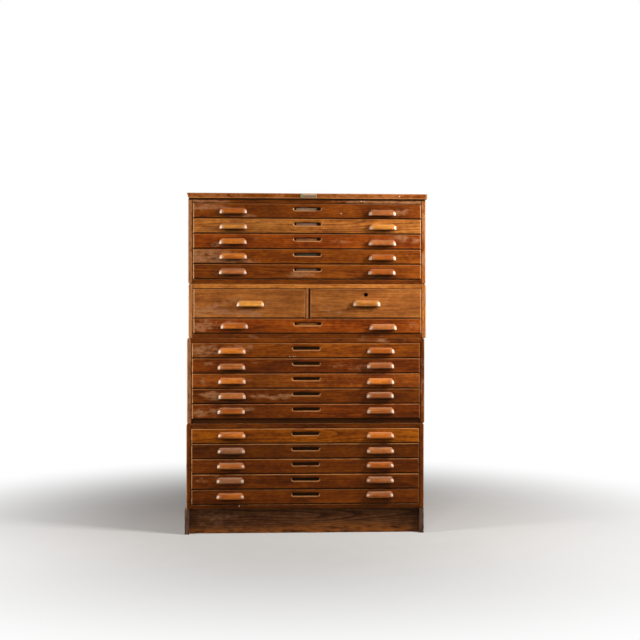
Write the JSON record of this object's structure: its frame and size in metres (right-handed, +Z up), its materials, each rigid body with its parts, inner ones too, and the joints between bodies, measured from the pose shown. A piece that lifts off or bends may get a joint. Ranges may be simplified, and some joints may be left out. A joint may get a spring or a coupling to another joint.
{
  "type": "flat file cabinet",
  "caption": "Floor-standing oak cabinet for large flat sheets: stacked cases of shallow sliding drawers with wooden pulls, on a plinth under one top board.",
  "frame": {"origin": "on the floor, at the middle of the bounding box of the whole closed cabinet", "axes": "+X to the right as seen from the front, +Y to the back, +Z up; the drawers slide out along -Y"},
  "size_m": [1.202, 0.9144, 1.6885],
  "materials": {
    "oak_honey": "honey oak under old varnish",
    "oak_amber": "amber oak under old varnish",
    "oak_russet": "red-brown oak under old varnish",
    "oak_umber": "dark brown oak under old varnish",
    "oak_walnut": "darkest brown oak under old varnish",
    "oak_pale": "pale worn oak pull",
    "oak_orange": "orange oak pull, rubbed by hands",
    "oak_tan": "tan oak pull, scuffed",
    "oak_plinth": "dark worn oak at the floor",
    "plate_metal": "oxidised brass plate"
  },
  "bodies": {
    "cabinet": {"base": "oak_plinth", "toe_board": "oak_plinth", "case_d": "oak_umber", "case_c": "oak_umber", "case_b": "oak_honey", "case_a": "oak_amber", "top_board": "oak_amber", "name_plate": "plate_metal"},
    "drawer_a1": {"drawer_a1": "oak_amber", "pull_a1_left": "oak_orange", "pull_a1_right": "oak_orange"},
    "drawer_a2": {"drawer_a2": "oak_honey", "pull_a2_left": "oak_pale", "pull_a2_right": "oak_pale"},
    "drawer_a3": {"drawer_a3": "oak_russet", "pull_a3_left": "oak_orange", "pull_a3_right": "oak_orange"},
    "drawer_a4": {"drawer_a4": "oak_amber", "pull_a4_left": "oak_orange", "pull_a4_right": "oak_orange"},
    "drawer_a5": {"drawer_a5": "oak_amber", "pull_a5_left": "oak_tan", "pull_a5_right": "oak_tan"},
    "drawer_b_left": {"drawer_b_left": "oak_honey", "pull_b_left": "oak_pale"},
    "drawer_b_right": {"drawer_b_right": "oak_honey", "pull_b_right": "oak_pale"},
    "drawer_b_flat": {"drawer_b_flat": "oak_russet", "pull_b_flat_left": "oak_orange", "pull_b_flat_right": "oak_orange"},
    "drawer_c1": {"drawer_c1": "oak_amber", "pull_c1_left": "oak_orange", "pull_c1_right": "oak_orange"},
    "drawer_c2": {"drawer_c2": "oak_umber", "pull_c2_left": "oak_orange", "pull_c2_right": "oak_orange"},
    "drawer_c3": {"drawer_c3": "oak_amber", "pull_c3_left": "oak_orange", "pull_c3_right": "oak_orange"},
    "drawer_c4": {"drawer_c4": "oak_umber", "pull_c4_left": "oak_tan", "pull_c4_right": "oak_tan"},
    "drawer_c5": {"drawer_c5": "oak_umber", "pull_c5_left": "oak_orange", "pull_c5_right": "oak_orange"},
    "drawer_d1": {"drawer_d1": "oak_amber", "pull_d1_left": "oak_pale", "pull_d1_right": "oak_pale"},
    "drawer_d2": {"drawer_d2": "oak_walnut", "pull_d2_left": "oak_tan", "pull_d2_right": "oak_tan"},
    "drawer_d3": {"drawer_d3": "oak_umber", "pull_d3_left": "oak_tan", "pull_d3_right": "oak_tan"},
    "drawer_d4": {"drawer_d4": "oak_umber", "pull_d4_left": "oak_tan", "pull_d4_right": "oak_tan"},
    "drawer_d5": {"drawer_d5": "oak_umber", "pull_d5_left": "oak_tan", "pull_d5_right": "oak_tan"}
  },
  "joints": [
    {"name": "slide_a1", "type": "slide", "parent": "cabinet", "child": "drawer_a1", "axis": [0, -1, 0], "range_m": [-0.0021, 0.5579]},
    {"name": "slide_a2", "type": "slide", "parent": "cabinet", "child": "drawer_a2", "axis": [0, -1, 0], "range_m": [-0.0042, 0.5558]},
    {"name": "slide_a3", "type": "slide", "parent": "cabinet", "child": "drawer_a3", "axis": [0, -1, 0], "range_m": [-0.0027, 0.5573]},
    {"name": "slide_a4", "type": "slide", "parent": "cabinet", "child": "drawer_a4", "axis": [0, -1, 0], "range_m": [-0.0018, 0.5582]},
    {"name": "slide_a5", "type": "slide", "parent": "cabinet", "child": "drawer_a5", "axis": [0, -1, 0], "range_m": [-0.003, 0.557]},
    {"name": "slide_b_left", "type": "slide", "parent": "cabinet", "child": "drawer_b_left", "axis": [0, -1, 0], "range_m": [-0.0018, 0.5582]},
    {"name": "slide_b_right", "type": "slide", "parent": "cabinet", "child": "drawer_b_right", "axis": [0, -1, 0], "range_m": [-0.0024, 0.5576]},
    {"name": "slide_b_flat", "type": "slide", "parent": "cabinet", "child": "drawer_b_flat", "axis": [0, -1, 0], "range_m": [-0.0045, 0.5555]},
    {"name": "slide_c1", "type": "slide", "parent": "cabinet", "child": "drawer_c1", "axis": [0, -1, 0], "range_m": [-0.0027, 0.5573]},
    {"name": "slide_c2", "type": "slide", "parent": "cabinet", "child": "drawer_c2", "axis": [0, -1, 0], "range_m": [-0.0036, 0.5564]},
    {"name": "slide_c3", "type": "slide", "parent": "cabinet", "child": "drawer_c3", "axis": [0, -1, 0], "range_m": [-0.0024, 0.5576]},
    {"name": "slide_c4", "type": "slide", "parent": "cabinet", "child": "drawer_c4", "axis": [0, -1, 0], "range_m": [-0.0018, 0.5582]},
    {"name": "slide_c5", "type": "slide", "parent": "cabinet", "child": "drawer_c5", "axis": [0, -1, 0], "range_m": [-0.006, 0.554]},
    {"name": "slide_d1", "type": "slide", "parent": "cabinet", "child": "drawer_d1", "axis": [0, -1, 0], "range_m": [-0.0036, 0.5564]},
    {"name": "slide_d2", "type": "slide", "parent": "cabinet", "child": "drawer_d2", "axis": [0, -1, 0], "range_m": [-0.0027, 0.5573]},
    {"name": "slide_d3", "type": "slide", "parent": "cabinet", "child": "drawer_d3", "axis": [0, -1, 0], "range_m": [-0.0018, 0.5582]},
    {"name": "slide_d4", "type": "slide", "parent": "cabinet", "child": "drawer_d4", "axis": [0, -1, 0], "range_m": [-0.0048, 0.5552]},
    {"name": "slide_d5", "type": "slide", "parent": "cabinet", "child": "drawer_d5", "axis": [0, -1, 0], "range_m": [0, 0.56]}
  ]
}
